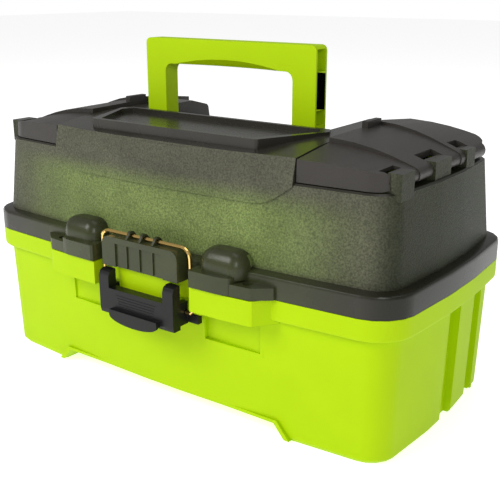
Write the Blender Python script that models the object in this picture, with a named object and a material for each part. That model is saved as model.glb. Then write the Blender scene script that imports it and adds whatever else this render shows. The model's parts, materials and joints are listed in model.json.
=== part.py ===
"""Two-tray fishing tackle box with a lift-up lid, cantilever trays, two top access lids,
a fold-down carrying handle and a wire-bail latch.

Metres, +X along the box's length, +Y to the rear, +Z up. The box stands on z = 0 and
the whole model is centred on x = 0 and y = 0.
"""
import math

import bmesh
import bpy
from mathutils import Matrix, Vector

# ---------------------------------------------------------------- driving dimensions
HALF_LENGTH = 0.203        # outside of the rim, left to right
HALF_DEPTH = 0.101         # outside of the rim, front to back
PARTING_Z = 0.1095         # where the lid's rim meets the base's flange
SHELL_TOP = 0.188          # shoulder of the lid under the access lids
HANDLE_TOP = 0.271         # top of the grip
WALL = 0.0025              # moulded shell wall
GAP = 0.0003               # between pieces that touch
CLEAR = 0.0006             # between pieces that slide or turn
BITE = 0.001               # how far joined shapes run into each other

# outline of the moulded shells
FRONT_BOW = 0.0095         # the front corners sit this far behind its middle
END_BOW = 0.007            # the end corners sit this far inside its middle
CORNER = 0.024             # corner radius in plan
FRONT_PIECES = 7           # straight pieces along the front and the back
END_PIECES = 3
RIM_FRONT = -HALF_DEPTH    # the front places below are measured from here
WALL_FRONT = RIM_FRONT + 0.008

# base
FLANGE_DROP = 0.0155       # height of the base's top flange
FLANGE_STEP = 0.006        # how far the flange stands out from the wall
BASE_DRAFT = 0.0025        # how much narrower the base is at its foot
FOOT_HEIGHT = 0.012        # arch between the feet
FOOT_INNER = 0.118         # feet start this far from the middle
FOOT_SLANT = 0.011         # the arch narrows by this much at its top
SLOT_DEPTH = 0.006         # hand slots in the end walls
SLOT_TOP = 0.090
SLOTS = ((0.000, 0.020), (0.050, 0.066))
POCKET_X = (0.046, 0.095)  # shallow recesses beside the lever
POCKET_LOW = 0.063
POCKET_DEPTH = 0.0025
ARM_BOSS = 0.006

# lid
RIM_HEIGHT = 0.0165
RIM_LEDGE = 0.0085         # from the rim's outside to the foot of the lid's wall
LID_DRAFT = 0.005          # the lid's wall leans in by this much up to its shoulder
DECK_HALF = HALF_LENGTH - 0.0875    # half length of the raised middle of the lid
DECK_TOP = 0.2100
DECK_FRONT_TOP = 0.2045
DECK_LEAN = 0.0040         # how far the deck's ends lean in towards its top
DECK_FRONT_LEAN = 0.0035   # how far the deck's front leans back above the shoulder
APRON_PROUD = 0.0008       # the apron under the deck stands out from the lid's wall
APRON_LOW = 0.171
APRON_HALF = 0.079         # half length of the apron's straight lower edge
PANEL_RIM = 0.0040         # raised rim of the panel in front of the handle
PANEL_RIM_WIDTH = 0.0045
PANEL_FRONT = RIM_FRONT + 0.0245
PANEL_FRONT_HALF = 0.080
PANEL_BACK = -0.010
PANEL_BACK_HALF = 0.104
WELL_HALF = 0.0925         # handle well
WELL_FLOOR = 0.193
WELL_FRONT = -0.009

# latch
KEEPER_HALF = 0.0375
KEEPER_FRONT = RIM_FRONT - 0.012
KEEPER_BACK = RIM_FRONT + 0.0017
KEEPER_TOP = 0.133
KEEPER_FINS = (-0.013, 0.0, 0.013)    # fins that strap the bail's top bar down
FIN_THICK = 0.0022
FIN_ROUND = 0.0037
DOME_X = 0.070
DOME_Y = RIM_FRONT + 0.0045
EYE_HEIGHT = 0.0090        # padlock eye on the lid
BULGE_HEIGHT = 0.0130      # the bulge between the eye and the latch
BULGE_FRONT = RIM_FRONT - 0.0135
BULGE_NEAR = 0.0480
BULGE_FAR = 0.0845
EYE_FAR = 0.112
PADLOCK_X = 0.0925
PADLOCK_Y = RIM_FRONT - 0.0015
PADLOCK_HOLE = 0.0038
BAIL_RADIUS = 0.0015
BAIL_HALF = 0.0437
BAIL_Y = RIM_FRONT - 0.005
BAIL_Z = 0.135
BAIL_FOOT_Y = RIM_FRONT - 0.003
BAIL_FOOT_Z = 0.0854
LEVER_HALF = 0.0372
LEVER_FRONT = RIM_FRONT - 0.017
LEVER_BACK = RIM_FRONT - 0.009
LEVER_TOP = 0.1076
LEVER_LOW = 0.073
WINDOW_HALF = 0.0272
WINDOW_LOW = 0.094
EYE_FRONT = RIM_FRONT - 0.0115
HOOK_REACH = 0.047
HOOK_Z = 0.084
HOOK_THICK = 0.0045
LUG_FRONT = RIM_FRONT - 0.0005
CHEEK = 0.005

# handle
HANDLE_HALF = 0.0835
HANDLE_THICK = 0.015
LEG_WIDTH = 0.0205
GRIP_HEIGHT = 0.020
GRIP_CORNER = 0.0040
GRIP_INNER_CORNER = 0.0065
SCALLOP_HALF = 0.056       # finger scallop under the grip
SCALLOP_RISE = 0.0065
CHANNEL_WALL = 0.0018
CHANNEL_DEPTH = 0.0095
CHANNELS = ((0.2125, 0.2235), (0.2250, 0.2505), (0.2520, 0.2680))
HANDLE_PIVOT_Z = 0.203
HANDLE_PIN = 0.003

# lid hinge
HINGE_Y = HALF_DEPTH + 0.0055
KNUCKLE = 0.0045
PIN = 0.0015
HINGE_X = 0.115
HINGE_SPAN = 0.060

# access lids and their bins
ACCESS_IN = DECK_HALF + 0.001
ACCESS_HINGE_X = HALF_LENGTH - 0.0225
ACCESS_HINGE_Z = SHELL_TOP + 0.0068
ACCESS_KNUCKLE = 0.0036
ACCESS_ROUND = 0.0060      # the covers' outer edges are round about their hinge
ACCESS_HALF_DEPTH = HALF_DEPTH - 0.017
ACCESS_LEDGE = 0.0025      # from the lid's shoulder to the covers' skirts
ACCESS_WALL = 0.0022
SHINGLES = (               # ends along Y, the crown's height at each, and the roll's radius
    ((-ACCESS_HALF_DEPTH, -0.039), (0.2035, 0.2095), ACCESS_ROUND - 0.0012),
    ((-0.041, 0.026), (0.2128, 0.2142), ACCESS_ROUND - 0.0006),
    ((0.024, ACCESS_HALF_DEPTH - GAP), (0.2166, 0.2105), ACCESS_ROUND))
ACCESS_BLOCKS = ((-0.070, -0.051), (-0.021, 0.0055), (0.031, 0.047))
NOTCH_DEPTH = 0.0062       # the covers clear the blocks by this much inwards
ACCESS_BARREL_END = 0.068
BIN_IN = DECK_HALF + 0.008
BIN_OUT = HALF_LENGTH - 0.0325
BIN_HALF_DEPTH = HALF_DEPTH - 0.037
BIN_FLOOR = 0.1745

# trays and their arms
TRAY_HALF_LENGTH = HALF_LENGTH - 0.0265
TRAY_HALF_DEPTH = HALF_DEPTH - 0.029
LOWER_TRAY = (0.097, 0.125)
UPPER_TRAY = (0.128, 0.154)
TRAY_WALL = 0.002
ARM_IN = TRAY_HALF_LENGTH + 0.0020
ARM_THICK = 0.0025
ARM_WIDTH = 0.010
ARM_REACH = (0.045, 0.100)
ARM_TILT = math.radians(20)
ARM_PIVOT_Y = {"front": 0.030, "rear": 0.072}
ARM_PIVOT_Z = 0.100
RIVET = 0.0022
DIVIDER = 0.0015
DIVIDER_X = (-0.090, 0.0, 0.090)

# the hinge at the back and the lever at the front reach differently far from the rim
TAB_REACH = 0.004          # the lever's finger tab stands out this far
FRONT_MOST = LEVER_FRONT - TAB_REACH
REAR_MOST = HINGE_Y + KNUCKLE
CENTRE_SHIFT = -(FRONT_MOST + REAR_MOST) / 2

LIME = (0.42, 0.73, 0.0, 1.0)
SMOKE = (0.09, 0.085, 0.07, 1.0)
BLACK = (0.012, 0.012, 0.012, 1.0)
BRASS = (0.80, 0.55, 0.16, 1.0)
STEEL = (0.55, 0.55, 0.57, 1.0)
TRAY_GREEN = (0.35, 0.62, 0.02, 1.0)


# ---------------------------------------------------------------- scene and helpers
def clear_scene():
    for item in list(bpy.data.objects):
        bpy.data.objects.remove(item, do_unlink=True)


def new_collection(name):
    group = bpy.data.collections.new(name)
    bpy.context.scene.collection.children.link(group)
    return group


clear_scene()
PARTS = new_collection("fishing_tackle_box")
CUTTERS = new_collection("cutters")
FRAME = bpy.data.objects.new("box_frame", None)
FRAME.location = (0, CENTRE_SHIFT, 0)
PARTS.objects.link(FRAME)


def material(name, colour, roughness, metallic=0.0):
    made = bpy.data.materials.new(name)
    made.use_nodes = True
    shader = made.node_tree.nodes["Principled BSDF"]
    shader.inputs["Base Color"].default_value = colour
    shader.inputs["Roughness"].default_value = roughness
    shader.inputs["Metallic"].default_value = metallic
    return made


LIME_PLASTIC = material("lime_plastic", LIME, 0.45)
SMOKE_PLASTIC = material("smoke_plastic", SMOKE, 0.35)
BLACK_PLASTIC = material("black_plastic", BLACK, 0.35)
BRASS_WIRE = material("brass_wire", BRASS, 0.25, 1.0)
STEEL_PIN = material("steel_pin", STEEL, 0.3, 1.0)
TRAY_PLASTIC = material("tray_plastic", TRAY_GREEN, 0.5)


def finish_mesh(name, bm, skin=None, origin=(0, 0, 0)):
    """Turn a bmesh into an object, with its origin at a joint axis where one is given."""
    bmesh.ops.recalc_face_normals(bm, faces=bm.faces)
    bmesh.ops.translate(bm, verts=bm.verts, vec=-Vector(origin))
    mesh = bpy.data.meshes.new(name)
    bm.to_mesh(mesh)
    bm.free()
    made = bpy.data.objects.new(name, mesh)
    made.location = origin
    made.parent = FRAME
    if skin:
        PARTS.objects.link(made)
        mesh.materials.append(skin)
        mesh.shade_smooth()
        mesh.set_sharp_from_angle(angle=math.radians(35))
    else:
        CUTTERS.objects.link(made)
        made.hide_render = True
        made.display_type = "WIRE"
    return made


def box(name, low, high, skin=None, origin=(0, 0, 0)):
    bm = bmesh.new()
    size = Vector(high) - Vector(low)
    centre = (Vector(high) + Vector(low)) / 2
    bmesh.ops.create_cube(bm, size=1.0, matrix=Matrix.Translation(centre) @ Matrix.Diagonal((*size, 1)))
    return finish_mesh(name, bm, skin, origin)


def rod(name, axis, centre, radius, start, end, skin=None, origin=(0, 0, 0), sides=20):
    """A round bar along X, Y or Z from start to end on that axis."""
    bm = bmesh.new()
    quarter = math.pi / 2
    turn = {"X": Matrix.Rotation(quarter, 4, "Y"), "Y": Matrix.Rotation(quarter, 4, "X"), "Z": Matrix()}
    middle = list(centre)
    middle["XYZ".index(axis)] = (start + end) / 2
    place = Matrix.Translation(Vector(middle)) @ turn[axis]
    bmesh.ops.create_cone(bm, cap_ends=True, segments=sides, radius1=radius, radius2=radius,
                          depth=abs(end - start), matrix=place)
    return finish_mesh(name, bm, skin, origin)


def prism(name, outline, axis, start, end, skin=None, origin=(0, 0, 0)):
    """A flat outline drawn in the two other axes (in X, Y, Z order) and pushed along one axis."""
    slot = "XYZ".index(axis)
    bm = bmesh.new()
    corners = []
    for first, second in outline:
        point = [first, second]
        point.insert(slot, start)
        corners.append(bm.verts.new(point))
    face = bm.faces.new(corners)
    pushed = bmesh.ops.extrude_face_region(bm, geom=[face])
    moved = [item for item in pushed["geom"] if isinstance(item, bmesh.types.BMVert)]
    travel = Vector((0, 0, 0))
    travel[slot] = end - start
    bmesh.ops.translate(bm, verts=moved, vec=travel)
    return finish_mesh(name, bm, skin, origin)


def loft(name, sections, skin=None, origin=(0, 0, 0)):
    """A closed solid through level outlines that all have the same number of points."""
    bm = bmesh.new()
    rings = []
    for height, outline in sections:
        rings.append([bm.verts.new((x, y, height)) for x, y in outline])
    for lower, upper in zip(rings, rings[1:]):
        for index, corner in enumerate(lower):
            after = (index + 1) % len(lower)
            bm.faces.new((corner, lower[after], upper[after], upper[index]))
    bm.faces.new(rings[0])
    bm.faces.new(rings[-1])
    return finish_mesh(name, bm, skin, origin)


def combine(target, tool, operation):
    cut = target.modifiers.new(f"{operation.lower()}_{tool.name}", "BOOLEAN")
    cut.operation = operation
    cut.object = tool
    cut.solver = "EXACT"


def add(target, *tools):
    for tool in tools:
        combine(target, tool, "UNION")


def cut(target, *tools):
    for tool in tools:
        combine(target, tool, "DIFFERENCE")


def arc(centre, radius, start, end, steps):
    """Points of an arc in degrees."""
    points = []
    for step in range(steps + 1):
        angle = math.radians(start + (end - start) * step / steps)
        points.append((centre[0] + radius * math.cos(angle), centre[1] + radius * math.sin(angle)))
    return points


def rounded(half_x, half_y, corner, steps=3, centre=(0, 0)):
    """A rounded rectangle around a centre."""
    points = []
    for sign_x, sign_y, start in ((1, 1, 0), (-1, 1, 90), (-1, -1, 180), (1, -1, 270)):
        middle = (centre[0] + sign_x * (half_x - corner), centre[1] + sign_y * (half_y - corner))
        points += arc(middle, corner, start, start + 90, steps)
    return points


def bowed(half_length, half_depth, corner=CORNER):
    """The shells' outline: a rounded rectangle with a bowed front and bowed ends."""
    plain = []
    ring = rounded(half_length, half_depth, corner, 4)
    for index, point in enumerate(ring):
        after = ring[(index + 1) % len(ring)]
        plain.append(point)
        pieces = 1
        if abs(after[0] - point[0]) > corner:
            pieces = FRONT_PIECES
        elif abs(after[1] - point[1]) > corner:
            pieces = END_PIECES
        for step in range(1, pieces):
            share = step / pieces
            plain.append((point[0] + (after[0] - point[0]) * share,
                          point[1] + (after[1] - point[1]) * share))
    points = []
    for x, y in plain:
        if y < 0:
            y += FRONT_BOW * (x / half_length) ** 2
        x -= math.copysign(END_BOW * (y / half_depth) ** 2, x)
        points.append((x, y))
    return points


def shell_section(height, inset):
    """A level section of the shells' outline, inset from the rim's outside."""
    return height, bowed(HALF_LENGTH - inset, HALF_DEPTH - inset, CORNER - min(inset, CORNER / 3))


def mirrored(outline):
    return [(-x, y) for x, y in outline]


SIDES = (("left", -1), ("right", 1))


# ---------------------------------------------------------------- base
def hinge_ranges(side):
    """Knuckles along one hinge: the base's and the lid's in turn."""
    length = HINGE_SPAN / 5
    start = side * HINGE_X - HINGE_SPAN / 2
    return [(start + length * index + CLEAR / 2, start + length * (index + 1) - CLEAR / 2)
            for index in range(5)]


def add_hinge_knuckles(target, parity, block_low, block_high):
    for side_name, side in SIDES:
        for index, (start, end) in enumerate(hinge_ranges(side)):
            if index % 2 == parity:
                label = f"{target.name}_{side_name}_knuckle_{index}"
                add(target, rod(label, "X", (0, HINGE_Y, PARTING_Z), KNUCKLE, start, end))
                add(target, box(label + "_block", (start, HALF_DEPTH - WALL, block_low),
                                (end, HINGE_Y, block_high)))
        bore_start = side * HINGE_X - HINGE_SPAN / 2 - BITE
        bore = rod(f"{target.name}_{side_name}_hinge_bore", "X", (0, HINGE_Y, PARTING_Z), PIN + GAP,
                   bore_start, bore_start + HINGE_SPAN + 2 * BITE)
        cut(target, bore)
        for index, (start, end) in enumerate(hinge_ranges(side)):
            if index % 2 != parity:
                room = rod(f"{target.name}_{side_name}_knuckle_room_{index}", "X", (0, HINGE_Y, PARTING_Z),
                           KNUCKLE + CLEAR, start - CLEAR / 2, end + CLEAR / 2)
                cut(target, room)


def eye_outline(side, back):
    """Plan of the bulge beside the latch that ends in the padlock eye."""
    near, far = BULGE_NEAR, EYE_FAR
    back_near = back + FRONT_BOW * (near / HALF_LENGTH) ** 2
    back_far = back + FRONT_BOW * (far / HALF_LENGTH) ** 2
    points = [(near, back_near), (near, EYE_FRONT), (near + 0.030, EYE_FRONT + 0.0008),
              (far - 0.014, EYE_FRONT + 0.0025), (far - 0.0115, EYE_FRONT + 0.0035), (far, back_far - 0.003),
              (far, back_far)]
    return points if side > 0 else mirrored(points)


def bulge_outline(side, back):
    """Plan of the thicker bulge that the dome stands on."""
    near, far = BULGE_NEAR, BULGE_FAR
    back_near = back + FRONT_BOW * (near / HALF_LENGTH) ** 2
    back_far = back + FRONT_BOW * (far / HALF_LENGTH) ** 2
    points = [(near, back_near + BITE), (near, BULGE_FRONT + 0.0015), (near + 0.0015, BULGE_FRONT),
              (far - 0.0095, BULGE_FRONT + 0.0006), (far - 0.0020, BULGE_FRONT + 0.0025),
              (far, BULGE_FRONT + 0.0060), (far, back_far + BITE)]
    return points if side > 0 else mirrored(points)


def build_base():
    top = PARTING_Z - GAP / 2
    flange = PARTING_Z - FLANGE_DROP
    wall_in = FLANGE_STEP
    foot_in = FLANGE_STEP + BASE_DRAFT
    tub = loft("base_tub", (
        shell_section(0.0, foot_in + 0.002),
        shell_section(0.003, foot_in),
        shell_section(flange - 0.001, wall_in),
        shell_section(flange, 0.001),
        shell_section(flange + 0.002, 0.0),
        shell_section(top, 0.0)), LIME_PLASTIC)
    cut(tub, loft("base_cavity", (
        shell_section(WALL, foot_in + WALL),
        shell_section(flange - 0.001, wall_in + WALL),
        shell_section(PARTING_Z + BITE, wall_in + WALL))))

    depth_in = HALF_DEPTH - foot_in - BITE
    arch_in = FOOT_INNER + WALL
    add(tub, prism("base_arch_floor", (
        (-arch_in, WALL / 2), (arch_in, WALL / 2), (arch_in - FOOT_SLANT, FOOT_HEIGHT + WALL),
        (-arch_in + FOOT_SLANT, FOOT_HEIGHT + WALL)), "Y", -depth_in, depth_in))
    cut(tub, prism("base_arch_gap", (
        (-FOOT_INNER, -BITE), (FOOT_INNER, -BITE), (FOOT_INNER - FOOT_SLANT, FOOT_HEIGHT),
        (-FOOT_INNER + FOOT_SLANT, FOOT_HEIGHT)), "Y", -HALF_DEPTH, HALF_DEPTH))

    for side_name, side in SIDES:
        for number, (near, far) in enumerate(SLOTS):
            wall_out = HALF_LENGTH - foot_in - END_BOW * ((near + far) / 2 / HALF_DEPTH) ** 2
            slot_in = wall_out - SLOT_DEPTH
            mid_wall = wall_out - WALL / 2
            slot_wall = [(slot_in - WALL, WALL / 2), (mid_wall, WALL / 2),
                         (mid_wall + BASE_DRAFT, SLOT_TOP + WALL), (slot_in - WALL, SLOT_TOP + WALL)]
            slot_wall = slot_wall if side > 0 else mirrored(slot_wall)
            add(tub, prism(f"{side_name}_slot_wall_{number}", slot_wall, "Y", near - WALL, far + WALL))
            ends = (side * slot_in, side * (HALF_LENGTH + BITE))
            cut(tub, box(f"{side_name}_slot_{number}", (min(ends), near, -BITE), (max(ends), far, SLOT_TOP)))

    boss_in = ARM_IN + ARM_THICK + CLEAR
    for side_name, side in SIDES:
        for place, pivot_y in ARM_PIVOT_Y.items():
            wall_x = HALF_LENGTH - wall_in - END_BOW * (pivot_y / HALF_DEPTH) ** 2
            add(tub, rod(f"{side_name}_{place}_arm_boss", "X", (0, pivot_y, ARM_PIVOT_Z), ARM_BOSS,
                         side * boss_in, side * (wall_x - BITE)))
            cut(tub, rod(f"{side_name}_{place}_arm_bore", "X", (0, pivot_y, ARM_PIVOT_Z), RIVET + GAP,
                         side * (boss_in - BITE), side * (boss_in + 0.0045)))

    for side_name, side in SIDES:
        bulge_low = flange - 0.003
        add(tub, prism(f"base_{side_name}_bulge", eye_outline(side, WALL_FRONT), "Z", bulge_low, top))
        pocket = [side * edge for edge in POCKET_X]
        pocket_back = RIM_FRONT + foot_in + POCKET_DEPTH
        add(tub, box(f"base_{side_name}_pocket_wall",
                     (min(pocket) - WALL, RIM_FRONT + foot_in + BITE, POCKET_LOW - WALL),
                     (max(pocket) + WALL, pocket_back + WALL, bulge_low + WALL)))
        cut(tub, box(f"base_{side_name}_pocket", (min(pocket), RIM_FRONT - BITE, POCKET_LOW),
                     (max(pocket), pocket_back, bulge_low)))
        cut(tub, rod(f"base_{side_name}_padlock_hole", "Z", (side * PADLOCK_X, PADLOCK_Y, 0), PADLOCK_HOLE,
                     bulge_low - BITE, PARTING_Z + BITE))
        lug = [side * (BAIL_HALF - 0.0012), side * (HOOK_REACH + WALL)]
        add(tub, box(f"base_{side_name}_lug", (min(lug), LUG_FRONT, HOOK_Z + 0.0005),
                     (max(lug), WALL_FRONT, HOOK_Z + 0.0035)))
    add(tub, box("base_latch_boss", (-WINDOW_HALF + 0.002, LEVER_BACK + 0.003, HOOK_Z - 0.004),
                 (WINDOW_HALF - 0.002, WALL_FRONT, top)))
    add_hinge_knuckles(tub, 0, PARTING_Z - 0.007, top)


def build_hinge_pins():
    for side_name, side in SIDES:
        start = side * HINGE_X - HINGE_SPAN / 2
        rod(f"{side_name}_hinge_pin", "X", (0, HINGE_Y, PARTING_Z), PIN, start + CLEAR,
            start + HINGE_SPAN - CLEAR, STEEL_PIN, (0, HINGE_Y, PARTING_Z), 12)


# ---------------------------------------------------------------- lid
def deck_profile(inset):
    """Side profile, Y and Z, of the raised middle of the lid, before its bowed front is cut."""
    foot = SHELL_TOP - 0.006
    back = HALF_DEPTH - RIM_LEDGE - LID_DRAFT - inset
    crest = RIM_FRONT + RIM_LEDGE + LID_DRAFT - APRON_PROUD + DECK_FRONT_LEAN + inset
    front_top = DECK_FRONT_TOP - inset
    profile = [(RIM_FRONT, foot), (RIM_FRONT, front_top - 0.0035), (crest, front_top - 0.0022)]
    profile += [(crest + 0.0008, front_top - 0.0007), (crest + 0.0030, front_top)]
    profile += [(RIM_FRONT + 0.046, front_top + 0.0036), (RIM_FRONT + 0.071, DECK_TOP - inset)]
    profile += [(0.060, DECK_TOP + 0.001 - inset), (back - DECK_LEAN - 0.0020, front_top + 0.001)]
    return profile + [(back - DECK_LEAN, front_top - 0.001), (back, foot)]


def deck_front_outline(name, inset=0.0):
    """The bowed front that the deck shares with its apron, as a solid in plan."""
    apron_in = RIM_LEDGE + LID_DRAFT - APRON_PROUD + inset
    slope = DECK_FRONT_LEAN / (DECK_FRONT_TOP - SHELL_TOP)
    return loft(name, (
        shell_section(APRON_LOW - 0.010, apron_in - LID_DRAFT * 0.58),
        shell_section(SHELL_TOP, apron_in),
        shell_section(HANDLE_TOP, apron_in + slope * (HANDLE_TOP - SHELL_TOP))))


def round_corners(outline, radius, steps=4):
    """The same outline with every corner rounded off."""
    points = []
    for index, corner in enumerate(outline):
        here = Vector(corner)
        before = (Vector(outline[index - 1]) - here).normalized()
        after = (Vector(outline[(index + 1) % len(outline)]) - here).normalized()
        half_angle = before.angle(after) / 2
        reach = radius / math.tan(half_angle)
        middle = here + (before + after).normalized() * (radius / math.sin(half_angle))
        start = here + before * reach - middle
        end = here + after * reach - middle
        for step in range(steps + 1):
            spoke = start.lerp(end, step / steps).normalized() * radius
            points.append((middle.x + spoke.x, middle.y + spoke.y))
    return points


def panel_outline(inset):
    """Plan of the raised panel in front of the handle."""
    front, back = PANEL_FRONT + inset, PANEL_BACK - inset
    front_half, back_half = PANEL_FRONT_HALF - inset * 1.3, PANEL_BACK_HALF - inset * 1.3
    shoulder = back - 0.010
    corners = [(-front_half, front), (front_half, front), (back_half, shoulder), (back_half - 0.005, back),
               (-back_half + 0.005, back), (-back_half, shoulder)]
    return round_corners(corners, 0.0035)


def apron_outline():
    """Front view of the deck and its apron, which sweeps up to the ends in two S-curves."""
    swing = DECK_HALF - APRON_HALF
    rise = SHELL_TOP - 0.002 - APRON_LOW
    right = []
    for step in range(9):
        share = step / 8
        ease = 0.5 - 0.5 * math.cos(math.pi * share ** 0.85)
        climb = 0.35 * share ** 2 + 0.65 * ease * share
        right.append((APRON_HALF + swing * share ** 0.8, APRON_LOW + rise * climb))
    right.append((DECK_HALF, HANDLE_TOP))
    return [(-x, z) for x, z in reversed(right)] + right


def build_lid():
    low = PARTING_Z + GAP / 2
    rim = PARTING_Z + RIM_HEIGHT
    shell = loft("lid_shell", (
        shell_section(low, 0.0),
        shell_section(rim - 0.003, 0.0),
        shell_section(rim - 0.0009, 0.0009),
        shell_section(rim, 0.003),
        shell_section(rim + 0.0004, RIM_LEDGE),
        shell_section(SHELL_TOP - 0.0012, RIM_LEDGE + LID_DRAFT),
        shell_section(SHELL_TOP, RIM_LEDGE + LID_DRAFT + 0.0012)), SMOKE_PLASTIC)
    bow = FRONT_BOW * (DECK_HALF / HALF_LENGTH) ** 2
    apron_back = RIM_FRONT + RIM_LEDGE + LID_DRAFT + WALL / 2 + bow
    apron_foot = APRON_LOW - 0.004
    deck = deck_profile(0.0)
    deck += [(apron_back, deck[-1][1]), (apron_back, apron_foot), (RIM_FRONT, apron_foot)]
    deck = prism("lid_deck", deck, "X", -DECK_HALF - BITE, DECK_HALF + BITE)
    combine(deck, deck_front_outline("lid_deck_outline"), "INTERSECT")
    combine(deck, prism("lid_deck_ends", apron_outline(), "Y", -HALF_DEPTH - BITE, HALF_DEPTH), "INTERSECT")
    add(shell, deck)
    panel_top = DECK_TOP + 0.0025
    add(shell, prism("lid_panel_rim", panel_outline(0.0), "Z", DECK_FRONT_TOP - WALL, panel_top))
    panel_floor = panel_top - PANEL_RIM
    cut(shell, prism("lid_panel_floor", panel_outline(PANEL_RIM_WIDTH), "Z", panel_floor, panel_top + BITE))

    cut(shell, loft("lid_cavity", (
        shell_section(low - BITE, WALL),
        shell_section(rim - WALL - 0.0005, WALL),
        shell_section(rim - WALL + 0.0004, RIM_LEDGE + WALL),
        shell_section(SHELL_TOP - WALL, RIM_LEDGE + LID_DRAFT + WALL))))
    room = DECK_HALF - WALL
    room_top = panel_floor - WALL
    front_room = [(y, min(z, room_top)) for y, z in deck_profile(WALL) if y < RIM_FRONT + 0.06]
    front_room += [(WELL_FRONT - WALL, DECK_TOP - 2 * WALL), (WELL_FRONT - WALL, SHELL_TOP - 0.006)]
    hollow = prism("lid_front_room", front_room, "X", -room, room)
    combine(hollow, deck_front_outline("lid_front_room_outline", WALL), "INTERSECT")
    cut(shell, hollow)
    for side_name, side in SIDES:
        cheek = (side * (WELL_HALF + WALL), side * room)
        back_room = HALF_DEPTH - RIM_LEDGE - LID_DRAFT - 3 * WALL
        cut(shell, box(f"lid_{side_name}_cheek_room",
                       (min(cheek), WELL_FRONT - WALL - BITE, SHELL_TOP - 0.006),
                       (max(cheek), back_room, DECK_FRONT_TOP - WALL)))
    cut(shell, box("lid_under_well", (-WELL_HALF - WALL - BITE, WELL_FRONT - WALL - BITE, SHELL_TOP - 0.006),
                   (WELL_HALF + WALL + BITE, back_room, WELL_FLOOR - WALL)))
    cut(shell, box("handle_well", (-WELL_HALF, WELL_FRONT, WELL_FLOOR), (WELL_HALF, HALF_DEPTH, HANDLE_TOP)))
    cut(shell, rod("handle_pin_bore", "X", (0, 0, HANDLE_PIVOT_Z), HANDLE_PIN + GAP, -WELL_HALF - 2 * WALL,
                   WELL_HALF + 2 * WALL))

    for side_name, side in SIDES:
        bin_hole = (side * BIN_IN, side * BIN_OUT)
        cut(shell, box(f"lid_{side_name}_bin_hole", (min(bin_hole), -BIN_HALF_DEPTH, SHELL_TOP - 2 * WALL),
                       (max(bin_hole), BIN_HALF_DEPTH, SHELL_TOP + BITE)))
        for number, (start, end) in enumerate(ACCESS_BLOCKS):
            foot = [side * (ACCESS_HINGE_X + out) for out in (-ACCESS_KNUCKLE, ACCESS_ROUND + CLEAR)]
            add(shell, box(f"lid_{side_name}_block_{number}",
                           (min(foot), start + CLEAR, SHELL_TOP - 2 * WALL),
                           (max(foot), end - CLEAR, ACCESS_HINGE_Z + ACCESS_ROUND)))
        cut(shell, rod(f"lid_{side_name}_access_bore", "Y", (side * ACCESS_HINGE_X, 0, ACCESS_HINGE_Z),
                       PIN + GAP, ACCESS_BLOCKS[0][0] + WALL, ACCESS_BARREL_END))

        middle_wall = WALL / 2 - HALF_DEPTH
        add(shell, prism(f"lid_{side_name}_eye", eye_outline(side, middle_wall), "Z", low + GAP,
                         low + EYE_HEIGHT))
        add(shell, prism(f"lid_{side_name}_bulge", bulge_outline(side, middle_wall), "Z", low + 2 * GAP,
                         low + BULGE_HEIGHT))
        dome = ((rim - 0.006, 0.0190, 0.0125), (rim + 0.0015, 0.0189, 0.0124),
                (rim + 0.0060, 0.0179, 0.0114), (rim + 0.0095, 0.0158, 0.0094),
                (rim + 0.0118, 0.0125, 0.0066), (rim + 0.0128, 0.0080, 0.0035))
        add(shell, loft(f"lid_{side_name}_dome", [
            (height, rounded(half_x, half_y, half_y * 0.8, 3, (side * DOME_X, DOME_Y)))
            for height, half_x, half_y in dome]))
        cut(shell, rod(f"lid_{side_name}_padlock_hole", "Z", (side * PADLOCK_X, PADLOCK_Y, 0),
                       PADLOCK_HOLE, low - BITE, low + 0.012))

    keeper = rounded(KEEPER_HALF, (KEEPER_TOP - low) / 2, 0.006, 3, (0, (KEEPER_TOP + low) / 2))
    keeper = [(x, z) for x, z in keeper if z > low + 0.007]
    keeper += [(-KEEPER_HALF, low + GAP), (KEEPER_HALF, low + GAP)]
    add(shell, prism("keeper", keeper, "Y", KEEPER_FRONT, KEEPER_BACK))
    panel_half = KEEPER_FINS[-1] * 2 - FIN_THICK
    cut(shell, box("keeper_panel", (-panel_half, KEEPER_FRONT - BITE, low - BITE),
                   (panel_half, KEEPER_FRONT + 0.0015, KEEPER_TOP - 0.0045)))
    fin = [(KEEPER_FRONT + GAP, low + BITE), (KEEPER_FRONT + GAP, KEEPER_TOP - BITE)]
    fin += [(BAIL_Y + y, BAIL_Z + z) for y, z in arc((0, 0), FIN_ROUND, 170, 20, 6)]
    fin += [(KEEPER_BACK + BITE, KEEPER_TOP - BITE), (KEEPER_BACK + BITE, low + BITE)]
    for number, place in enumerate(KEEPER_FINS):
        add(shell, prism(f"keeper_fin_{number}", fin, "X", place - FIN_THICK / 2, place + FIN_THICK / 2))
    cut(shell, rod("bail_seat", "X", (0, BAIL_Y, BAIL_Z), BAIL_RADIUS + GAP + 0.0002, -BAIL_HALF, BAIL_HALF,
                   sides=16))
    add_hinge_knuckles(shell, 1, low, PARTING_Z + 0.007)


def arch_heights(crown, roll):
    """The arch of an access lid from its crown down to its hinge: X and Z."""
    arch_end = ACCESS_HINGE_Z + roll + 0.0006
    falls = ((0.0455, 0.10), (0.0305, 0.30), (0.0175, 0.56), (0.0057, 0.86))
    points = [(ACCESS_HINGE_X - before, crown - (crown - arch_end) * fall) for before, fall in falls]
    return [(ACCESS_IN, crown)] + points


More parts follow.
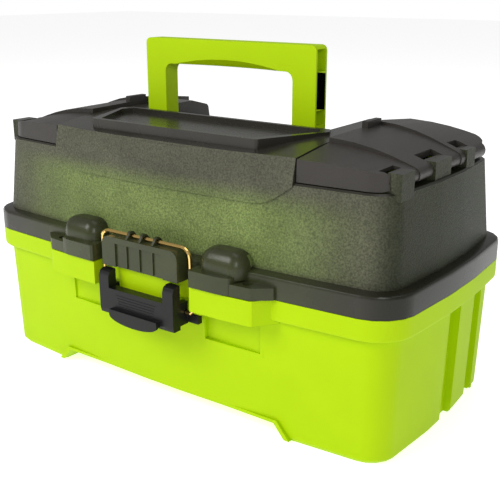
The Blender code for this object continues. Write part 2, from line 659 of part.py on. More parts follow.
def access_profile(side, crown, roll):
    """Cross-section, X and Z, of an access lid: arched, and round about its hinge."""
    foot = SHELL_TOP + 0.0007
    points = [(ACCESS_IN, foot)] + arch_heights(crown, roll)
    points += [(ACCESS_HINGE_X + x, ACCESS_HINGE_Z + z) for x, z in arc((0, 0), roll, 70, -40, 5)]
    points += [(ACCESS_HINGE_X + 0.0022, ACCESS_HINGE_Z - 0.0040), (ACCESS_HINGE_X - 0.0045, foot)]
    return points if side > 0 else mirrored(points)


def room_profile(side, crown, roll):
    """Cross-section of the hollow under an access lid, as far as its hinge roll."""
    mouth = SHELL_TOP - 0.002
    points = [(ACCESS_IN + ACCESS_WALL, mouth), (ACCESS_IN + ACCESS_WALL, crown - ACCESS_WALL)]
    points += [(x, z - ACCESS_WALL) for x, z in arch_heights(crown, roll)[1:]]
    points.append((points[-1][0], mouth))
    return points if side > 0 else mirrored(points)


def sloped_prism(name, profile, side, ends, crowns, roll, skin=None, origin=(0, 0, 0)):
    """A section of an access lid pushed along Y while its crown rises or falls."""
    bm = bmesh.new()
    rings = []
    for place, crown in zip(ends, crowns):
        rings.append([bm.verts.new((x, place, z)) for x, z in profile(side, crown, roll)])
    for ring in rings:
        bm.faces.new(ring)
    for index, corner in enumerate(rings[0]):
        after = (index + 1) % len(rings[0])
        bm.faces.new((corner, rings[0][after], rings[1][after], rings[1][index]))
    bmesh.ops.triangulate(bm, faces=bm.faces)
    return finish_mesh(name, bm, skin, origin)


def build_access_lid(side_name, side):
    origin = (side * ACCESS_HINGE_X, 0, ACCESS_HINGE_Z)
    front_crowns, front_roll = SHINGLES[0][1:]
    cover = sloped_prism(f"{side_name}_access_lid", access_profile, side, *SHINGLES[0], SMOKE_PLASTIC, origin)
    for number, shingle in enumerate(SHINGLES[1:]):
        add(cover, sloped_prism(f"{side_name}_shingle_{number}", access_profile, side, *shingle))
    outline_in = RIM_LEDGE + LID_DRAFT + ACCESS_LEDGE
    keep = loft(f"{side_name}_access_outline", (
        shell_section(SHELL_TOP - 0.010, outline_in - 0.0010), shell_section(HANDLE_TOP, outline_in + 0.002)))
    reach = (side * (ACCESS_HINGE_X - 0.004), side * HALF_LENGTH)
    add(keep, box(f"{side_name}_barrel_keep", (min(reach), ACCESS_BLOCKS[0][0] + BITE, SHELL_TOP - 0.009),
                  (max(reach), ACCESS_BARREL_END, HANDLE_TOP - BITE)))
    combine(cover, keep, "INTERSECT")
    room = sloped_prism(f"{side_name}_access_room", room_profile, side, (-HALF_DEPTH, HALF_DEPTH),
                        front_crowns, front_roll)
    room_in = outline_in + ACCESS_WALL
    combine(room, loft(f"{side_name}_room_outline", (
        shell_section(SHELL_TOP - 0.010, room_in), shell_section(HANDLE_TOP, room_in + 0.002))), "INTERSECT")
    cut(cover, room)
    tab = (side * (ACCESS_IN + 0.0002), side * (ACCESS_IN + 0.005))
    add(cover, box(f"{side_name}_finger_tab", (min(tab), 0.004, DECK_FRONT_TOP), (max(tab), 0.0245, 0.2185)))
    notch = (side * (ACCESS_HINGE_X - ACCESS_KNUCKLE - NOTCH_DEPTH), side * HALF_LENGTH)
    for number, (start, end) in enumerate(ACCESS_BLOCKS):
        cut(cover, box(f"{side_name}_notch_{number}", (min(notch), start, SHELL_TOP - 0.004),
                       (max(notch), end, HANDLE_TOP)))
    cut(cover, rod(f"{side_name}_access_lid_bore", "Y", (side * ACCESS_HINGE_X, 0, ACCESS_HINGE_Z), PIN + GAP,
                   ACCESS_BLOCKS[0][0] - BITE, ACCESS_BARREL_END + BITE))
    rod(f"{side_name}_access_pin", "Y", (side * ACCESS_HINGE_X, 0, ACCESS_HINGE_Z), PIN,
        ACCESS_BLOCKS[0][0] + WALL + CLEAR, ACCESS_BARREL_END - 0.002, STEEL_PIN, origin, 12)


def build_access_bin(side_name, side):
    middle = (side * (BIN_IN + BIN_OUT) / 2, 0)
    half_x = (BIN_OUT - BIN_IN) / 2 - GAP
    half_y = BIN_HALF_DEPTH - GAP
    under = SHELL_TOP + GAP
    top = under + 0.0015
    tub = loft(f"{side_name}_access_bin", (
        (BIN_FLOOR, rounded(half_x - 0.0015, half_y - 0.0015, 0.004, 3, middle)),
        (SHELL_TOP - 0.0005, rounded(half_x, half_y, 0.004, 3, middle)),
        (under, rounded(half_x, half_y, 0.004, 3, middle)),
        (under + 0.00005, rounded(half_x + 0.002, half_y + 0.002, 0.005, 3, middle)),
        (top, rounded(half_x + 0.002, half_y + 0.002, 0.005, 3, middle))), TRAY_PLASTIC)
    cut(tub, loft(f"{side_name}_bin_room", (
        (BIN_FLOOR + TRAY_WALL, rounded(half_x - 0.0035, half_y - 0.0035, 0.003, 3, middle)),
        (top + BITE, rounded(half_x - 0.002, half_y - 0.002, 0.003, 3, middle)))))


# ---------------------------------------------------------------- handle
def build_handle():
    top = HANDLE_TOP
    inside = HANDLE_HALF - LEG_WIDTH
    under = top - GRIP_HEIGHT
    half = HANDLE_THICK / 2
    origin = (0, 0, HANDLE_PIVOT_Z)
    outer = arc((HANDLE_HALF - GRIP_CORNER, top - GRIP_CORNER), GRIP_CORNER, 0, 90, 3)
    inner = arc((inside - GRIP_INNER_CORNER, under - GRIP_INNER_CORNER), GRIP_INNER_CORNER, 90, 0, 4)
    right = [(HANDLE_HALF, HANDLE_PIVOT_Z)] + outer
    left = [(-x, z) for x, z in reversed(right)]
    inner_left = [(-x, z) for x, z in reversed(inner)]
    arch = [(-inside, HANDLE_PIVOT_Z)] + inner_left + inner + [(inside, HANDLE_PIVOT_Z)]
    bar = prism("handle", right + left + arch, "Y", -half, half, LIME_PLASTIC, origin)

    steps = 12
    curve = []
    for step in range(steps + 1):
        x = SCALLOP_HALF * (2 * step / steps - 1)
        curve.append((x, SCALLOP_RISE * (1 - (x / SCALLOP_HALF) ** 2)))
    for face in (-1, 1):
        bm = bmesh.new()
        rings = []
        for depth, drop in ((half + BITE, 0.0), (0.0015, SCALLOP_RISE)):
            ring = [bm.verts.new((x, face * depth, under + z - drop)) for x, z in curve]
            ring += [bm.verts.new((side * SCALLOP_HALF, face * depth, under - 3 * SCALLOP_RISE))
                     for side in (1, -1)]
            rings.append(ring)
            bm.faces.new(ring)
        for index, corner in enumerate(rings[0]):
            after = (index + 1) % len(rings[0])
            bm.faces.new((corner, rings[0][after], rings[1][after], rings[1][index]))
        cut(bar, finish_mesh(f"grip_scallop_{face + 1}", bm))

    for side_name, side in SIDES:
        ends = (side * inside, side * HANDLE_HALF)
        add(bar, rod(f"{side_name}_handle_foot", "X", (0, 0, HANDLE_PIVOT_Z), half, min(ends), max(ends)))
        for number, (low, high) in enumerate(CHANNELS):
            deep = (side * (HANDLE_HALF - CHANNEL_DEPTH), side * (HANDLE_HALF + BITE))
            cut(bar, box(f"{side_name}_channel_{number}", (min(deep), -half + CHANNEL_WALL, low),
                         (max(deep), half - CHANNEL_WALL, high)))
        cut(bar, rod(f"{side_name}_handle_bore", "X", (0, 0, HANDLE_PIVOT_Z), HANDLE_PIN + GAP,
                     side * (inside - BITE), side * (HANDLE_HALF + BITE)))
        pin = (side * inside, side * (WELL_HALF + WALL + 0.0015))
        rod(f"{side_name}_handle_pin", "X", (0, 0, HANDLE_PIVOT_Z), HANDLE_PIN, min(pin), max(pin),
            STEEL_PIN, origin, 16)


# ---------------------------------------------------------------- latch
def build_bail():
    """One brass wire: its top bar turns in the keeper and its two feet carry the lever."""
    path = bpy.data.curves.new("bail_path", "CURVE")
    path.dimensions = "3D"
    path.bevel_depth = BAIL_RADIUS
    path.bevel_resolution = 2
    path.use_fill_caps = True
    bend = 0.007
    lean = (BAIL_FOOT_Y - BAIL_Y) / (BAIL_Z - BAIL_FOOT_Z)
    right = [(LEVER_HALF - 0.0030, BAIL_FOOT_Y, BAIL_FOOT_Z), (BAIL_HALF - 0.002, BAIL_FOOT_Y, BAIL_FOOT_Z)]
    right += [(BAIL_HALF, BAIL_FOOT_Y, BAIL_FOOT_Z + 0.002)]
    for x, z in arc((BAIL_HALF - bend, BAIL_Z - bend), bend, 0, 90, 4):
        right.append((x, BAIL_Y + (BAIL_Z - z) * lean, z))
    points = right + [(-x, y, z) for x, y, z in reversed(right)]
    spline = path.splines.new("POLY")
    spline.points.add(len(points) - 1)
    for point, place in zip(spline.points, points):
        point.co = (*(Vector(place) - Vector((0, BAIL_Y, BAIL_Z))), 1)
    bail = bpy.data.objects.new("latch_bail", path)
    bail.location = (0, BAIL_Y, BAIL_Z)
    bail.parent = FRAME
    path.materials.append(BRASS_WIRE)
    PARTS.objects.link(bail)


def build_lever():
    origin = (0, BAIL_FOOT_Y, BAIL_FOOT_Z)
    plate_profile = [(LEVER_BACK, LEVER_LOW), (LEVER_FRONT + 0.001, LEVER_LOW),
                     (LEVER_FRONT, LEVER_LOW + 0.004), (LEVER_FRONT, LEVER_TOP - 0.005),
                     (LEVER_FRONT + 0.0015, LEVER_TOP - 0.0015),
                     (LEVER_FRONT + 0.0045, LEVER_TOP), (LEVER_BACK, LEVER_TOP)]
    lever = prism("latch_lever", plate_profile, "X", -LEVER_HALF, LEVER_HALF, BLACK_PLASTIC, origin)
    tab_half = 0.024
    tab_root = LEVER_LOW + 0.006
    for name, front, low in (("lever_tab", LEVER_FRONT - TAB_REACH, LEVER_LOW - 0.0045),
                             ("lever_tab_root", LEVER_FRONT - TAB_REACH / 2, LEVER_LOW - 0.0035)):
        lip = [(tab_half * math.cos(angle), low + 0.006 * (1 - math.sin(angle)))
               for angle in (math.pi * step / 12 for step in range(13))]
        depth = 0.0024 if name == "lever_tab" else 0.0050
        outline = [(tab_half, tab_root), *lip, (-tab_half, tab_root)]
        add(lever, prism(name, outline, "Y", front, front + depth))
    cut(lever, box("lever_window", (-WINDOW_HALF, LEVER_FRONT - 2 * TAB_REACH, WINDOW_LOW),
                   (WINDOW_HALF, LEVER_BACK + 0.010, LEVER_TOP + BITE)))
    for side_name, side in SIDES:
        cheek = (side * (LEVER_HALF - CHEEK), side * LEVER_HALF)
        add(lever, box(f"lever_{side_name}_cheek", (min(cheek), LEVER_BACK - 2 * BITE, HOOK_Z - 0.008),
                       (max(cheek), LUG_FRONT, WINDOW_LOW - BITE / 2)))
        hook = (side * (LEVER_HALF - CHEEK), side * HOOK_REACH)
        hook_front = LUG_FRONT - BITE / 2
        add(lever, box(f"lever_{side_name}_hook", (min(hook), hook_front, HOOK_Z - 0.007),
                       (max(hook), hook_front + HOOK_THICK, HOOK_Z)))
        cut(lever, rod(f"lever_{side_name}_bail_bore", "X", (0, BAIL_FOOT_Y, BAIL_FOOT_Z), BAIL_RADIUS + GAP,
                       side * (LEVER_HALF - 0.004), side * (LEVER_HALF + 0.008), sides=16))


# ---------------------------------------------------------------- trays and arms
def arm_point(place, reach):
    """A pivot on an arm, seen from the side: its Y and Z."""
    return (ARM_PIVOT_Y[place] - reach * math.cos(ARM_TILT), ARM_PIVOT_Z + reach * math.sin(ARM_TILT))


def build_tray(name, levels, reach):
    low, high = levels
    corner = 0.008
    half_x, half_y = TRAY_HALF_LENGTH, TRAY_HALF_DEPTH
    front = arm_point("front", reach)
    tray = loft(name, (
        (low, rounded(half_x - 0.001, half_y - 0.002, corner)),
        (low + 0.001, rounded(half_x, half_y - 0.001, corner)),
        (high, rounded(half_x, half_y, corner))), TRAY_PLASTIC, (0, *front))
    cut(tray, loft(name + "_room", (
        (low + TRAY_WALL,
         rounded(half_x - TRAY_WALL - 0.001, half_y - TRAY_WALL - 0.001, corner - TRAY_WALL)),
        (high + BITE, rounded(half_x - TRAY_WALL, half_y - TRAY_WALL, corner - TRAY_WALL)))))
    for place in ARM_PIVOT_Y:
        pivot = arm_point(place, reach)
        cut(tray, rod(f"{name}_{place}_bore", "X", (0, *pivot), RIVET + GAP, -half_x - BITE, half_x + BITE,
                      sides=16))
        for side_name, side in SIDES:
            ends = (side * (half_x - TRAY_WALL - 0.001), side * (ARM_IN + ARM_THICK + 0.0003))
            rivet = rod(f"{name}_{side_name}_{place}_rivet", "X", (0, *pivot), RIVET, min(ends), max(ends),
                        STEEL_PIN, (0, *pivot), 12)
            head = (side * (ARM_IN + ARM_THICK + CLEAR / 2), side * (ARM_IN + ARM_THICK + 0.0012))
            add(rivet, rod(f"{name}_{side_name}_{place}_rivet_head", "X", (0, *pivot), RIVET * 1.6, min(head),
                           max(head), sides=12))
    for number, place_x in enumerate(DIVIDER_X):
        divider = box(f"{name}_divider_{number + 1}",
                      (place_x - DIVIDER / 2, -half_y + 2 * TRAY_WALL, low + TRAY_WALL + GAP),
                      (place_x + DIVIDER / 2, half_y - 2 * TRAY_WALL, high - 0.002), TRAY_PLASTIC)
        add(divider, box(f"{name}_divider_foot_{number + 1}",
                         (place_x - 0.004, -half_y + 2 * TRAY_WALL, low + TRAY_WALL + GAP),
                         (place_x + 0.004, half_y - 2 * TRAY_WALL, low + TRAY_WALL + 0.0015)))


def build_arm(side_name, side, place):
    pivot = (ARM_PIVOT_Y[place], ARM_PIVOT_Z)
    tip = arm_point(place, ARM_REACH[1])
    half = ARM_WIDTH / 2
    turn = 180 - math.degrees(ARM_TILT)
    outline = arc(pivot, half, turn + 90, turn + 270, 6) + arc(tip, half, turn - 90, turn + 90, 6)
    ends = (side * ARM_IN, side * (ARM_IN + ARM_THICK))
    arm = prism(f"{side_name}_{place}_arm", outline, "X", min(ends), max(ends), BLACK_PLASTIC, (0, *pivot))
    for reach in (0.0, *ARM_REACH):
        centre = arm_point(place, reach)
        cut(arm, rod(f"{side_name}_{place}_arm_hole_{round(reach * 1000)}", "X", (0, *centre), RIVET + GAP,
                     min(ends) - BITE, max(ends) + BITE, sides=16))
    boss_in = ARM_IN + ARM_THICK + CLEAR
    rivet = (side * (ARM_IN + 0.0002), side * (boss_in + 0.0040))
    rod(f"{side_name}_{place}_arm_rivet", "X", (0, *pivot), RIVET, min(rivet), max(rivet), STEEL_PIN,
        (0, *pivot), 12)


# ---------------------------------------------------------------- assembly
build_base()
build_hinge_pins()
build_lid()
for side_label, side_sign in SIDES:
    build_access_lid(side_label, side_sign)
    build_access_bin(side_label, side_sign)
build_handle()
build_bail()
build_lever()
build_tray("lower_tray", LOWER_TRAY, ARM_REACH[0])
build_tray("upper_tray", UPPER_TRAY, ARM_REACH[1])
for side_label, side_sign in SIDES:
    for arm_place in ARM_PIVOT_Y:
        build_arm(side_label, side_sign, arm_place)
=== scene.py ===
import json
import math

import bpy
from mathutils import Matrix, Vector

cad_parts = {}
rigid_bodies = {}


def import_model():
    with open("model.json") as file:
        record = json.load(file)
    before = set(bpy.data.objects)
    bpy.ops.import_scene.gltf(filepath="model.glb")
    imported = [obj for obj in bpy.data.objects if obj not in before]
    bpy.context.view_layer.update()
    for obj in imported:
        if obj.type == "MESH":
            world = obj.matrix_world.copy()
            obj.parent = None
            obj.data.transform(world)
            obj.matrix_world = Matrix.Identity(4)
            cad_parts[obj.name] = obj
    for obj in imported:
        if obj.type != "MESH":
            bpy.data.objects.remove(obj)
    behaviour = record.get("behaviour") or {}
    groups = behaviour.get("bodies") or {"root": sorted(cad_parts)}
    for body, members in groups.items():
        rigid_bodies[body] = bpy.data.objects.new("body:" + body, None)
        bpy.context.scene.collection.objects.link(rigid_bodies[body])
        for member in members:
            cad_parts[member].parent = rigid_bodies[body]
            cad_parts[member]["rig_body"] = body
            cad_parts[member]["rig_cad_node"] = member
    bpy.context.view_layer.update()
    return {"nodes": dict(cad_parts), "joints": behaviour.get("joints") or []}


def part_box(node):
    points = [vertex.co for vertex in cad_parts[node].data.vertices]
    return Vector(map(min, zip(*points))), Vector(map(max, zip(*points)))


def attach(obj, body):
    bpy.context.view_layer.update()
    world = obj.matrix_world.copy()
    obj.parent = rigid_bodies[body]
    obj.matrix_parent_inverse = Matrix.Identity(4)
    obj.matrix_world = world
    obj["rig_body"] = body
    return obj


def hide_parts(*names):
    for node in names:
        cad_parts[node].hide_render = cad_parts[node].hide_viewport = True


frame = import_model()

# ---------------------------------------------------------------- camera, floor and lights
# A flat pale floor under the box, a large soft light over its front left, a weaker one
# near the camera and one over the top. The surround is white to the camera only.
hinge_behind = 0.1065    # from the middle of the moulded rim back to the lid's hinge
hinges = [joint for joint in frame["joints"] if joint["name"] == "lid_hinge"]
mid_y = hinges[0]["pos_m"][1] - hinge_behind
floor_size = 14
floor_drop = 0.0005

camera_data = bpy.data.cameras.new("camera")
camera_data.lens = 60.5
camera_data.sensor_width = 36.0
camera = bpy.data.objects.new("camera", camera_data)
bpy.context.scene.collection.objects.link(camera)
camera.location = (0.41424, mid_y - 0.53400, 0.31337)
camera_aim = Vector((-0.0002, mid_y + 0.025, 0.0928))
camera.rotation_euler = (camera_aim - camera.location).to_track_quat("-Z", "Y").to_euler()
bpy.context.scene.camera = camera
bpy.context.scene.view_settings.view_transform = "Standard"

bpy.ops.object.select_all(action="DESELECT")
bpy.ops.mesh.primitive_plane_add(size=floor_size, location=(0, 0, -floor_drop))
floor = bpy.context.object
floor.name = "studio_floor"
floor_paint = bpy.data.materials.new("floor_paint")
floor_paint.use_nodes = True
floor_shader = floor_paint.node_tree.nodes["Principled BSDF"]
floor_shader.inputs["Base Color"].default_value = (0.88, 0.88, 0.88, 1)
floor_shader.inputs["Roughness"].default_value = 0.9
floor_shader.inputs["Specular IOR Level"].default_value = 0.1
floor_shader.inputs["Emission Color"].default_value = (1, 1, 1, 1)
floor_shader.inputs["Emission Strength"].default_value = 0.62
floor.data.materials.append(floor_paint)

surround = bpy.data.worlds.new("surround")
surround.use_nodes = True
surround_nodes, surround_links = surround.node_tree.nodes, surround.node_tree.links
ray = surround_nodes.new("ShaderNodeLightPath")
backdrop = surround_nodes.new("ShaderNodeMapRange")
backdrop.inputs["To Min"].default_value = 0.36
backdrop.inputs["To Max"].default_value = 1.0
surround_links.new(ray.outputs["Is Camera Ray"], backdrop.inputs["Value"])
surround_links.new(backdrop.outputs["Result"], surround_nodes["Background"].inputs["Strength"])
surround_nodes["Background"].inputs["Color"].default_value = (1, 1, 1, 1)
bpy.context.scene.world = surround

light_aim = Vector((0, 0, 0.1))
softboxes = (    # name, place, width in metres, power in watts
    ("key_softbox", (-0.8, -1.5, 1.3), 1.0, 26),
    ("camera_softbox", (1.3, -1.2, 0.9), 0.6, 9),
    ("top_softbox", (0.1, 0.5, 1.9), 1.2, 9))
for light_name, place, size, power in softboxes:
    light_data = bpy.data.lights.new(light_name, "AREA")
    light_data.energy = power
    light_data.size = size
    light = bpy.data.objects.new(light_name, light_data)
    light.location = place
    light.rotation_euler = (light_aim - Vector(place)).to_track_quat("-Z", "Y").to_euler()
    bpy.context.scene.collection.objects.link(light)


# ---------------------------------------------------------------- base tub
# The base is one injection moulding in lime polypropylene with a fine matte grain: a
# flanged tub on two broad feet, with finger slots in its ends and lugs for the latch.
weld_distance = 0.00002
flat_angle = math.radians(0.6)
bevel_angle = math.radians(32)
smooth_angle = math.radians(38)


def moulded_copy(node, name, round_off, steps=2):
    """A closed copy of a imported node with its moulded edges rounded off."""
    copy = frame["nodes"][node].copy()
    copy.data = copy.data.copy()
    copy.data.materials.clear()
    copy.parent = None
    copy.name = name
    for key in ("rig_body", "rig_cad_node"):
        if key in copy:
            del copy[key]
    bpy.context.scene.collection.objects.link(copy)
    bpy.ops.object.select_all(action="DESELECT")
    copy.select_set(True)
    bpy.context.view_layer.objects.active = copy
    bpy.ops.object.mode_set(mode="EDIT")
    bpy.ops.mesh.select_all(action="SELECT")
    bpy.ops.mesh.remove_doubles(threshold=weld_distance)
    bpy.ops.mesh.dissolve_limited(angle_limit=flat_angle)
    bpy.ops.object.mode_set(mode="OBJECT")
    edges = copy.modifiers.new("rounded_edges", "BEVEL")
    edges.width = round_off
    edges.segments = steps
    edges.limit_method = "ANGLE"
    edges.angle_limit = bevel_angle
    edges.miter_outer = "MITER_ARC"
    bpy.ops.object.modifier_apply(modifier=edges.name)
    bpy.ops.object.shade_smooth_by_angle(angle=smooth_angle)
    even = copy.modifiers.new("even_shading", "WEIGHTED_NORMAL")
    even.keep_sharp = True
    bpy.ops.object.modifier_apply(modifier=even.name)
    return copy


def finish_piece(piece, body, slot, *skins):
    """Give a new piece its materials and the body it moves with."""
    piece.data.materials.clear()
    for skin in skins:
        piece.data.materials.append(skin)
    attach(piece, body)


def make_grain():
    """Spark-eroded mould grain: a bumped normal, a fine speckle and a broad mottle."""
    group = bpy.data.node_groups.new("moulded_grain", "ShaderNodeTree")
    group.interface.new_socket("Scale", in_out="INPUT", socket_type="NodeSocketFloat")
    group.interface.new_socket("Depth", in_out="INPUT", socket_type="NodeSocketFloat")
    group.interface.new_socket("Normal", in_out="OUTPUT", socket_type="NodeSocketVector")
    group.interface.new_socket("Speckle", in_out="OUTPUT", socket_type="NodeSocketFloat")
    group.interface.new_socket("Mottle", in_out="OUTPUT", socket_type="NodeSocketFloat")
    nodes, links = group.nodes, group.links
    given = nodes.new("NodeGroupInput")
    out = nodes.new("NodeGroupOutput")
    where = nodes.new("ShaderNodeTexCoord")
    fine = nodes.new("ShaderNodeTexNoise")
    fine.inputs["Detail"].default_value = 2.0
    fine.inputs["Roughness"].default_value = 0.65
    broad = nodes.new("ShaderNodeTexNoise")
    broad.inputs["Scale"].default_value = 28.0
    broad.inputs["Detail"].default_value = 3.0
    bump = nodes.new("ShaderNodeBump")
    bump.inputs["Distance"].default_value = 0.0006
    links.new(where.outputs["Object"], fine.inputs["Vector"])
    links.new(where.outputs["Object"], broad.inputs["Vector"])
    links.new(given.outputs["Scale"], fine.inputs["Scale"])
    links.new(given.outputs["Depth"], bump.inputs["Strength"])
    links.new(fine.outputs["Fac"], bump.inputs["Height"])
    links.new(bump.outputs["Normal"], out.inputs["Normal"])
    links.new(fine.outputs["Fac"], out.inputs["Speckle"])
    links.new(broad.outputs["Fac"], out.inputs["Mottle"])
    return group


moulded_grain = make_grain()


def plastic(name, colour, dark, roughness, gloss, scale, depth):
    """An opaque moulded plastic with grain and a faint mottle."""
    made = bpy.data.materials.new(name)
    made.use_nodes = True
    nodes, links = made.node_tree.nodes, made.node_tree.links
    shader = nodes["Principled BSDF"]
    shader.inputs["Specular IOR Level"].default_value = gloss
    grain = nodes.new("ShaderNodeGroup")
    grain.node_tree = moulded_grain
    grain.inputs["Scale"].default_value = scale
    grain.inputs["Depth"].default_value = depth
    tint = nodes.new("ShaderNodeMix")
    tint.data_type = "RGBA"
    tint.inputs["A"].default_value = (*dark, 1)
    tint.inputs["B"].default_value = (*colour, 1)
    rough = nodes.new("ShaderNodeMapRange")
    rough.inputs["To Min"].default_value = roughness - 0.05
    rough.inputs["To Max"].default_value = roughness + 0.08
    links.new(grain.outputs["Mottle"], tint.inputs["Factor"])
    links.new(grain.outputs["Speckle"], rough.inputs["Value"])
    links.new(rough.outputs["Result"], shader.inputs["Roughness"])
    links.new(tint.outputs["Result"], shader.inputs["Base Color"])
    links.new(grain.outputs["Normal"], shader.inputs["Normal"])
    return made


lime_plastic = plastic("lime_plastic", colour=(0.385, 0.575, 0.0), dark=(0.35, 0.53, 0.0),
                       roughness=0.50, gloss=0.10, scale=1100, depth=0.10)

base = moulded_copy("base_tub", "base_moulding", 0.0009)
finish_piece(base, "base", "lime_plastic", lime_plastic)
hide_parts("base_tub")


# ---------------------------------------------------------------- lid
# The lid is moulded in a smoke-tinted translucent plastic. Its walls, apron and deck
# front are grained; rim, deck and panel are polished. The green trays' light through it is
# painted glow.
def smoke_plastic(name, dark, painted_front_glow, painted_glow, painted_glow_heights, grain_depth, speckle, roughness, gloss):
    """Smoke plastic, dark at the ends, with painted glow: brighter at the front and green where
    the trays stand behind it.
    """
    made = bpy.data.materials.new(name)
    made.use_nodes = True
    nodes, links = made.node_tree.nodes, made.node_tree.links
    shader = nodes["Principled BSDF"]
    shader.inputs["Specular IOR Level"].default_value = gloss
    grain = nodes.new("ShaderNodeGroup")
    grain.node_tree = moulded_grain
    grain.inputs["Scale"].default_value = 750
    grain.inputs["Depth"].default_value = grain_depth
    where = nodes.new("ShaderNodeTexCoord")
    split = nodes.new("ShaderNodeSeparateXYZ")
    links.new(where.outputs["Object"], split.inputs["Vector"])

    def fade(source, start, end):
        ramp = nodes.new("ShaderNodeMapRange")
        ramp.interpolation_type = "SMOOTHSTEP"
        ramp.inputs["From Min"].default_value = start
        ramp.inputs["From Max"].default_value = end
        links.new(source, ramp.inputs["Value"])
        return ramp.outputs["Result"]

    def blend(kind, factor, first, second):
        mix = nodes.new("ShaderNodeMix")
        mix.data_type = "RGBA"
        mix.blend_type = kind
        for slot, value in (("Factor", factor), ("A", first), ("B", second)):
            if isinstance(value, bpy.types.NodeSocket):
                links.new(value, mix.inputs[slot])
            else:
                mix.inputs[slot].default_value = value
        return mix.outputs["Result"]

    def multiply(first, second):
        product = nodes.new("ShaderNodeMath")
        product.operation = "MULTIPLY"
        links.new(first, product.inputs[0])
        links.new(second, product.inputs[1])
        return product.outputs["Value"]

    span = nodes.new("ShaderNodeMath")
    span.operation = "ABSOLUTE"
    links.new(split.outputs["X"], span.inputs[0])
    # Painted light: the front and back walls are painted brighter than the ends, standing in for
    # the trays' light shining out through the smoke.
    front_glow_gone, front_glow_full = 0.192, 0.168        # distances from the middle along the box
    glow_none, glow_full = 0.188, 0.085
    glow_rise, glow_fall = 0.012, 0.022     # heights over which the glow comes and goes
    painted_front_mask = fade(span.outputs["Value"], front_glow_gone, front_glow_full)
    # Painted glow: a green band of height on the walls, painted where the trays' light would
    # shine through the smoke.
    low, high = painted_glow_heights
    rising = fade(split.outputs["Z"], low, low + glow_rise)
    falling = fade(split.outputs["Z"], high, high - glow_fall)
    painted_glow_mask = multiply(rising, falling)
    painted_glow_mask = multiply(painted_glow_mask, fade(span.outputs["Value"], glow_none, glow_full))
    tone = blend("MIX", painted_front_mask, (*dark, 1), (*painted_front_glow, 1))
    tone = blend("MIX", painted_glow_mask, tone, (*painted_glow, 1))
    cloud = nodes.new("ShaderNodeMapRange")
    cloud.inputs["From Min"].default_value = 0.3
    cloud.inputs["From Max"].default_value = 0.7
    cloud.inputs["To Min"].default_value = 0.84
    cloud.inputs["To Max"].default_value = 1.16
    links.new(grain.outputs["Mottle"], cloud.inputs["Value"])
    tone = blend("MULTIPLY", 1.0, tone, cloud.outputs["Result"])
    dots = nodes.new("ShaderNodeMapRange")
    dots.inputs["From Min"].default_value = 0.35
    dots.inputs["From Max"].default_value = 0.65
    dots.inputs["To Min"].default_value = 1 - speckle
    dots.inputs["To Max"].default_value = 1 + speckle
    links.new(grain.outputs["Speckle"], dots.inputs["Value"])
    tone = blend("MULTIPLY", 1.0, tone, dots.outputs["Result"])
    rough = nodes.new("ShaderNodeMapRange")
    rough.inputs["To Min"].default_value = roughness - 0.04
    rough.inputs["To Max"].default_value = roughness + 0.06
    links.new(grain.outputs["Mottle"], rough.inputs["Value"])
    links.new(rough.outputs["Result"], shader.inputs["Roughness"])
    links.new(tone, shader.inputs["Base Color"])
    links.new(grain.outputs["Normal"], shader.inputs["Normal"])
    return made


# The front and glow colours below are painted light: the trays' light seen through the smoke.
smoke_grained = smoke_plastic(
    "smoke_grained", dark=(0.020, 0.024, 0.011), painted_front_glow=(0.066, 0.066, 0.044),
    painted_glow=(0.124, 0.165, 0.048), painted_glow_heights=(0.120, 0.186),
    grain_depth=0.80, speckle=0.34, roughness=0.46, gloss=0.16)
smoke_polished = smoke_plastic(
    "smoke_polished", dark=(0.012, 0.012, 0.007), painted_front_glow=(0.026, 0.024, 0.018),
    painted_glow=(0.036, 0.042, 0.016), painted_glow_heights=(0.100, 0.150),
    grain_depth=0.06, speckle=0.04, roughness=0.26, gloss=0.26)

lid = moulded_copy("lid_shell", "lid_moulding", 0.0010)
finish_piece(lid, "lid", "smoke_plastic", smoke_grained, smoke_polished)
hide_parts("lid_shell")
wall_low, wall_high = 0.1262, 0.2065          # heights between the rim and the deck
wall_in_x, wall_in_y = 0.1785, 0.0785         # anything further in is not an outside wall
latch_half, latch_back, latch_top = 0.093, -0.092, 0.143
steepest = 0.6
for face in lid.data.polygons:
    place = face.center
    behind = place.y - mid_y
    steep = abs(face.normal.z) < steepest
    outer = abs(behind) > wall_in_y or abs(place.x) > wall_in_x
    near_latch = abs(place.x) < latch_half and behind < latch_back and place.z < latch_top
    grained = wall_low < place.z < wall_high and steep and outer and not near_latch
    face.material_index = 0 if grained else 1

# ---------------------------------------------------------------- access lids
# Two smoke-grey covers close the top bins. Each is stepped like three shingles, has a
# grained top and skirt, and rolls over at its outer end round a steel hinge pin.
cover_smoke = plastic("cover_smoke", colour=(0.036, 0.032, 0.027), dark=(0.026, 0.023, 0.020),
                      roughness=0.36, gloss=0.28, scale=900, depth=0.30)
for side in ("left", "right"):
    cover = moulded_copy(f"{side}_access_lid", f"{side}_access_cover", 0.0013, 3)
    finish_piece(cover, f"{side}_access", "smoke_plastic", cover_smoke)
    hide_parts(f"{side}_access_lid")

# ---------------------------------------------------------------- handle
# The carrying handle is moulded in the base's lime plastic. Its legs are cored out from
# the outside, and a shallow scallop under each side of the grip makes room for fingers.
handle = moulded_copy("handle", "handle_moulding", 0.0006)
finish_piece(handle, "carry_handle", "lime_plastic", lime_plastic)
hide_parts("handle")

# ---------------------------------------------------------------- latch lever
# The lever is a glossy black moulding that hangs on the bail: two posts, a window
# between them, and a ribbed finger plate with a curved lip.
black_plastic = plastic("black_plastic", colour=(0.008, 0.008, 0.008), dark=(0.005, 0.005, 0.005),
                        roughness=0.33, gloss=0.22, scale=1000, depth=0.10)
lever = moulded_copy("latch_lever", "lever_moulding", 0.0008)
finish_piece(lever, "lever", "black_plastic", black_plastic)
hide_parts("latch_lever")

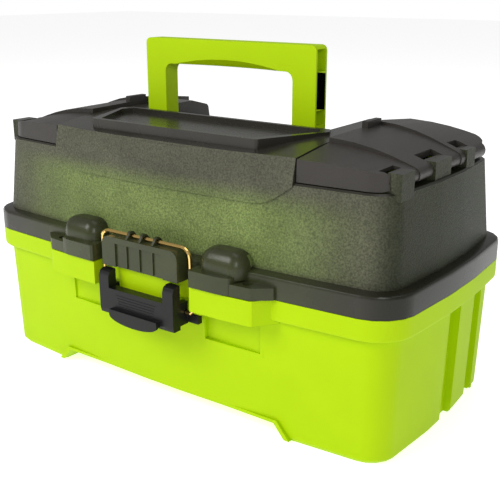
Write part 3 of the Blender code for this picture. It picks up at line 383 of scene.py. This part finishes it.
lever_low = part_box("latch_lever")[0]
tab_reach = 0.0040       # from the finger tab's front back to the plate's face
rib_face = lever_low.y + tab_reach
rib_length = 0.0400
rib_thick = 0.0006
rib_rows = 7
rib_first = 0.0085
rib_pitch = 0.0021
shortest_rib = 0.78
rib_growth = 0.035       # each rib is longer than the one below it by this share
ribs = []
for row in range(rib_rows):
    height = lever_low.z + rib_first + rib_pitch * row
    bpy.ops.object.select_all(action="DESELECT")
    bpy.ops.mesh.primitive_cube_add(size=1, location=(0, rib_face, height))
    rib = bpy.context.object
    rib.scale = (rib_length * (shortest_rib + rib_growth * row), rib_thick, rib_thick)
    bpy.ops.object.transform_apply(location=True, rotation=False, scale=True)
    ribs.append(rib)
bpy.ops.object.select_all(action="DESELECT")
for rib in ribs:
    rib.select_set(True)
bpy.context.view_layer.objects.active = ribs[0]
bpy.ops.object.join()
grip_ribs = bpy.context.object
grip_ribs.name = "lever_grip_ribs"
soft = grip_ribs.modifiers.new("rounded", "BEVEL")
soft.width = 0.0002
soft.segments = 2
bpy.ops.object.modifier_apply(modifier=soft.name)
bpy.ops.object.transform_apply(location=True, rotation=True, scale=True)
bpy.ops.object.origin_set(type="ORIGIN_CURSOR")
finish_piece(grip_ribs, "lever", "black_plastic", black_plastic)


# ---------------------------------------------------------------- bail wire
# The bail is one length of bright brass-plated wire. Its top bar turns under the fins of
# the keeper and its two inturned feet carry the lever.
def metal(name, colour, roughness):
    """Drawn metal with fine scratches that vary its polish."""
    made = bpy.data.materials.new(name)
    made.use_nodes = True
    nodes, links = made.node_tree.nodes, made.node_tree.links
    shader = nodes["Principled BSDF"]
    shader.inputs["Metallic"].default_value = 1.0
    grain = nodes.new("ShaderNodeGroup")
    grain.node_tree = moulded_grain
    grain.inputs["Scale"].default_value = 2500
    grain.inputs["Depth"].default_value = 0.05
    wear = nodes.new("ShaderNodeMapRange")
    wear.inputs["To Min"].default_value = roughness * 0.7
    wear.inputs["To Max"].default_value = roughness * 1.4
    tint = nodes.new("ShaderNodeMix")
    tint.data_type = "RGBA"
    tint.inputs["A"].default_value = (*(value * 0.82 for value in colour), 1)
    tint.inputs["B"].default_value = (*colour, 1)
    links.new(grain.outputs["Mottle"], tint.inputs["Factor"])
    links.new(tint.outputs["Result"], shader.inputs["Base Color"])
    links.new(grain.outputs["Mottle"], wear.inputs["Value"])
    links.new(wear.outputs["Result"], shader.inputs["Roughness"])
    links.new(grain.outputs["Normal"], shader.inputs["Normal"])
    return made


brass_wire = metal("brass_wire", (0.92, 0.62, 0.20), 0.12)
bail = frame["nodes"]["latch_bail"]
bail.data.materials.clear()
bail.data.materials.append(brass_wire)

# ---------------------------------------------------------------- pins, trays, arms and bins
# Drawn steel pins and rivets join black tray arms to two green trays, which carry loose
# dividers. Two shallow green bins hang in the lid under the access lids.
steel_pin = metal("steel_pin", (0.55, 0.55, 0.57), 0.3)
tray_plastic = plastic("tray_plastic", colour=(0.36, 0.62, 0.02), dark=(0.31, 0.54, 0.02),
                       roughness=0.46, gloss=0.30, scale=1300, depth=0.08)
for node_name, node in frame["nodes"].items():
    if node_name.endswith("_pin") or node_name.endswith("_rivet"):
        inner_finish = steel_pin
    elif node_name.endswith("_arm"):
        inner_finish = black_plastic
    elif "tray" in node_name or node_name.endswith("_bin"):
        inner_finish = tray_plastic
    else:
        continue
    node.data.materials.clear()
    node.data.materials.append(inner_finish)
